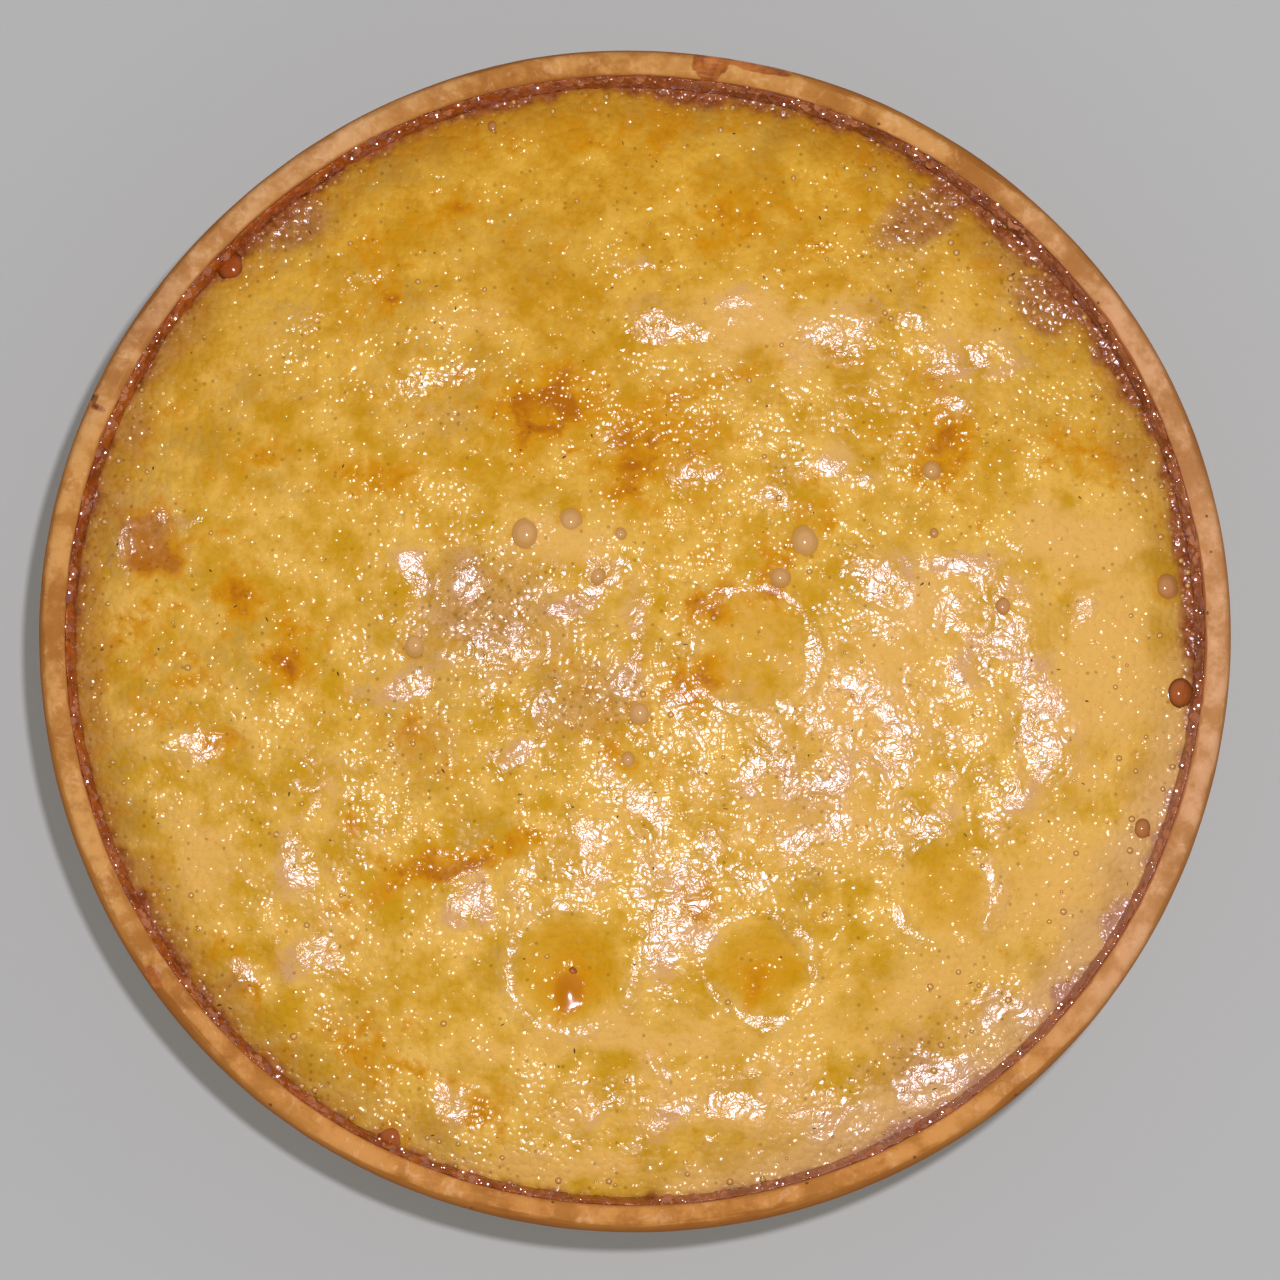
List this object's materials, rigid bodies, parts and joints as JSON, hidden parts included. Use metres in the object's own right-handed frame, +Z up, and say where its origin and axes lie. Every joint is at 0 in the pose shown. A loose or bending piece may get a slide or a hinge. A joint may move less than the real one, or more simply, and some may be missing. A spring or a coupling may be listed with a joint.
{
  "type": "mishti doi in an earthenware dish",
  "caption": "Sweet set milk curd with a wrinkled golden cream skin, filling a shallow round hand-thrown earthenware dish with a flat foot.",
  "frame": {"origin": "middle of the dish's foot, on the surface that it stands on", "axes": "+Z up out of the dish, +Y to the side that is farthest from the camera in the picture, +X to the picture's right"},
  "size_m": [0.2002, 0.1994, 0.0523],
  "materials": {
    "earthenware": "unglazed, matt",
    "doi": "moist, glossy skin"
  },
  "bodies": {
    "root": {"earthenware_dish": "earthenware", "doi_curd": "doi"}
  },
  "joints": []
}
